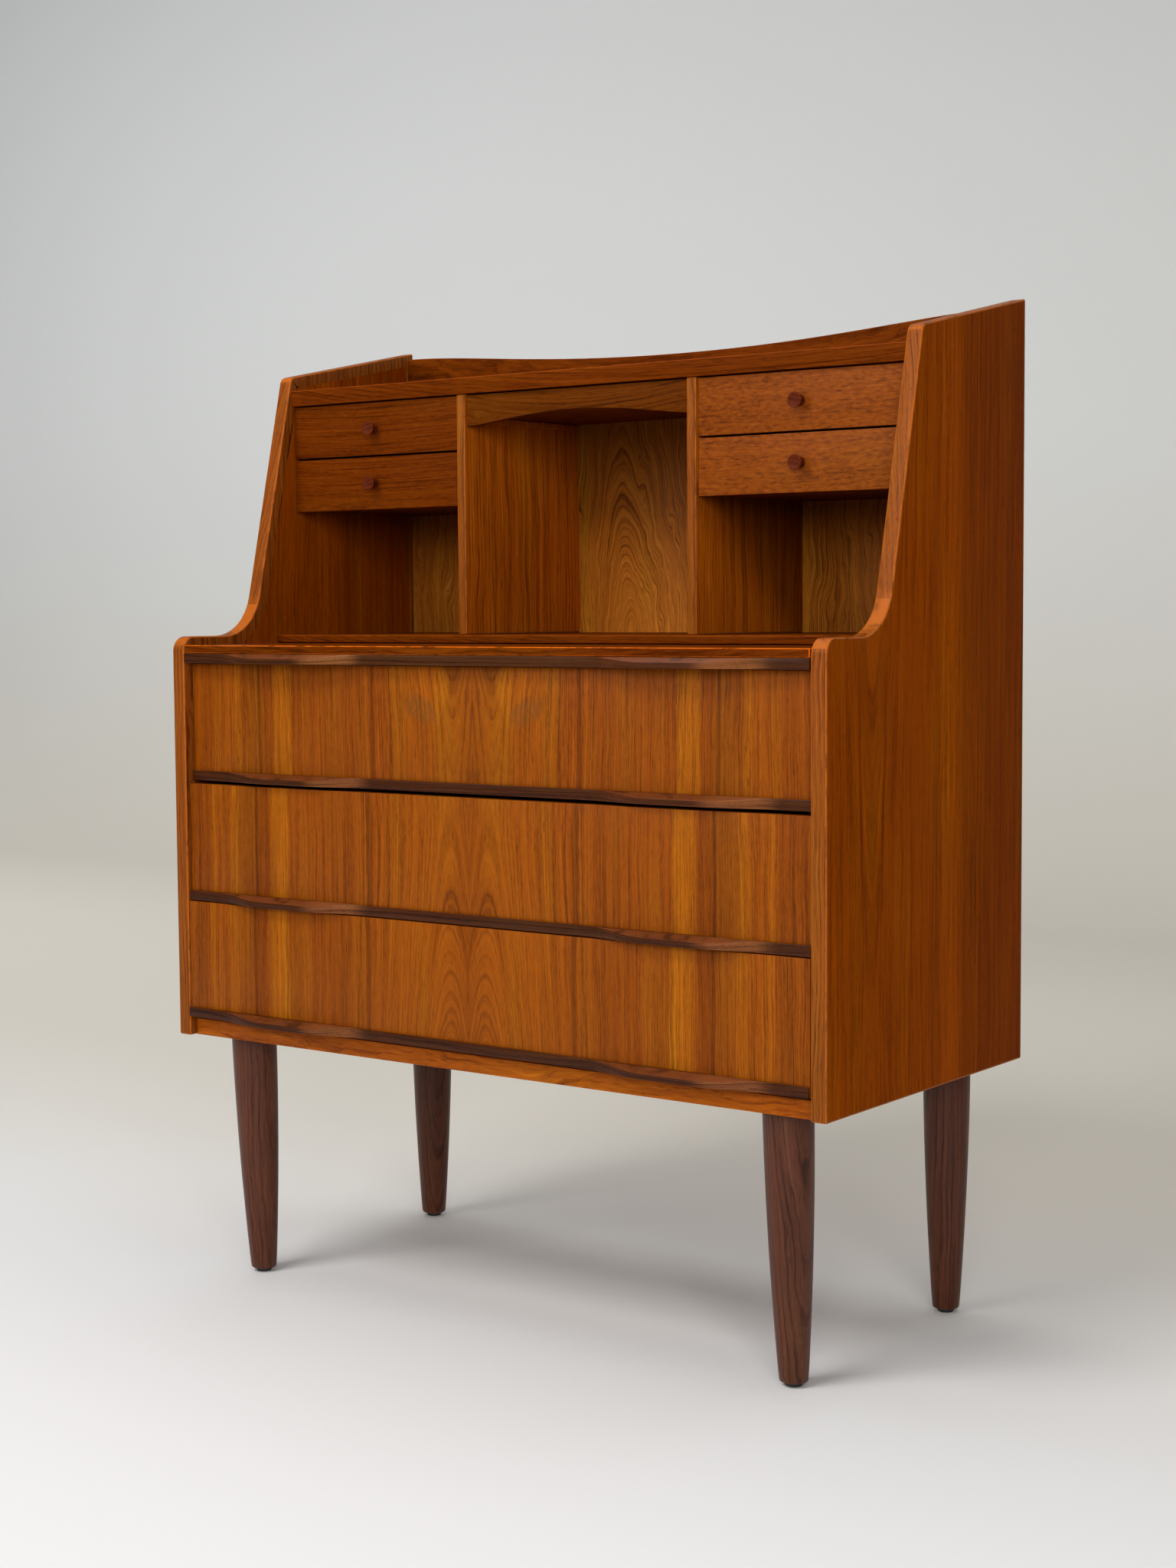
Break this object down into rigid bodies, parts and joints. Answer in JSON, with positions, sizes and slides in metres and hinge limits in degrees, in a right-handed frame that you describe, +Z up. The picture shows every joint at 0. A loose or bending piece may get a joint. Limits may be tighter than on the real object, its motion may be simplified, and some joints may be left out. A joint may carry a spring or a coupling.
{
  "type": "secretary desk",
  "caption": "Secretary desk on turned legs, with large drawers under a pull-out writing leaf and a gallery of small drawers over open pigeonholes.",
  "frame": {"origin": "on the floor, under the middle of the whole desk with its handle grips", "axes": "+Z up, +X to the right of a person sitting at the desk, the front faces -Y"},
  "size_m": [0.88, 0.429, 1.1058],
  "materials": {
    "panel_teak": "teak veneer with a satin oil finish, reddish brown",
    "front_teak": "teak veneer with a satin oil finish, orange brown",
    "back_teak": "thin veneered board, drier and greyer",
    "handle_wood": "solid dark teak, oiled",
    "leg_wood": "turned solid wood with a dark reddish stain",
    "box_wood": "plain pale wood, waxed",
    "glide_nylon": "black nylon"
  },
  "bodies": {
    "root": {"side_panel_left": "panel_teak", "side_panel_right": "panel_teak", "case_bottom": "box_wood", "base_rail": "front_teak", "back_panel": "back_teak", "crest_rail": "front_teak", "top_board": "front_teak", "gallery_base": "front_teak", "divider_left": "front_teak", "divider_right": "front_teak", "shelf_left_lower": "back_teak", "shelf_left_upper": "back_teak", "shelf_right_lower": "back_teak", "shelf_right_upper": "back_teak", "centre_runner_left": "box_wood", "centre_runner_right": "box_wood", "lower_drawer_runner_left": "box_wood", "lower_drawer_runner_right": "box_wood", "middle_drawer_runner_left": "box_wood", "middle_drawer_runner_right": "box_wood", "upper_drawer_runner_left": "box_wood", "upper_drawer_runner_right": "box_wood", "leaf_guide_left": "box_wood", "leaf_guide_right": "box_wood", "leg_front_left": "leg_wood", "glide_front_left": "glide_nylon", "leg_front_right": "leg_wood", "glide_front_right": "glide_nylon", "leg_back_left": "leg_wood", "glide_back_left": "glide_nylon", "leg_back_right": "leg_wood", "glide_back_right": "glide_nylon"},
    "writing_leaf": {"leaf_board": "front_teak", "leaf_handle": "handle_wood"},
    "lower_drawer": {"lower_drawer_front": "front_teak", "lower_drawer_box": "box_wood", "lower_drawer_bottom": "box_wood", "lower_drawer_handle": "handle_wood"},
    "middle_drawer": {"middle_drawer_front": "front_teak", "middle_drawer_box": "box_wood", "middle_drawer_bottom": "box_wood", "middle_drawer_handle": "handle_wood"},
    "upper_drawer": {"upper_drawer_front": "front_teak", "upper_drawer_box": "box_wood", "upper_drawer_bottom": "box_wood", "upper_drawer_handle": "handle_wood"},
    "centre_drawer": {"centre_drawer_front": "front_teak", "centre_drawer_tray": "box_wood"},
    "small_drawer_left_lower": {"small_drawer_left_lower_front": "front_teak", "small_drawer_left_lower_tray": "box_wood", "small_drawer_left_lower_knob": "handle_wood"},
    "small_drawer_left_upper": {"small_drawer_left_upper_front": "front_teak", "small_drawer_left_upper_tray": "box_wood", "small_drawer_left_upper_knob": "handle_wood"},
    "small_drawer_right_lower": {"small_drawer_right_lower_front": "front_teak", "small_drawer_right_lower_tray": "box_wood", "small_drawer_right_lower_knob": "handle_wood"},
    "small_drawer_right_upper": {"small_drawer_right_upper_front": "front_teak", "small_drawer_right_upper_tray": "box_wood", "small_drawer_right_upper_knob": "handle_wood"}
  },
  "joints": [
    {"name": "writing_leaf_slide", "type": "slide", "parent": "root", "child": "writing_leaf", "axis": [0, -1, 0], "range_m": [0, 0.18]},
    {"name": "lower_drawer_slide", "type": "slide", "parent": "root", "child": "lower_drawer", "axis": [0, -1, 0], "range_m": [0, 0.28]},
    {"name": "middle_drawer_slide", "type": "slide", "parent": "root", "child": "middle_drawer", "axis": [0, -1, 0], "range_m": [0, 0.28]},
    {"name": "upper_drawer_slide", "type": "slide", "parent": "root", "child": "upper_drawer", "axis": [0, -1, 0], "range_m": [0, 0.28]},
    {"name": "centre_drawer_slide", "type": "slide", "parent": "root", "child": "centre_drawer", "axis": [0, -1, 0], "range_m": [0, 0.12]},
    {"name": "small_drawer_left_lower_slide", "type": "slide", "parent": "root", "child": "small_drawer_left_lower", "axis": [0, -1, 0], "range_m": [0, 0.13]},
    {"name": "small_drawer_left_upper_slide", "type": "slide", "parent": "root", "child": "small_drawer_left_upper", "axis": [0, -1, 0], "range_m": [0, 0.13]},
    {"name": "small_drawer_right_lower_slide", "type": "slide", "parent": "root", "child": "small_drawer_right_lower", "axis": [0, -1, 0], "range_m": [0, 0.13]},
    {"name": "small_drawer_right_upper_slide", "type": "slide", "parent": "root", "child": "small_drawer_right_upper", "axis": [0, -1, 0], "range_m": [0, 0.13]}
  ]
}
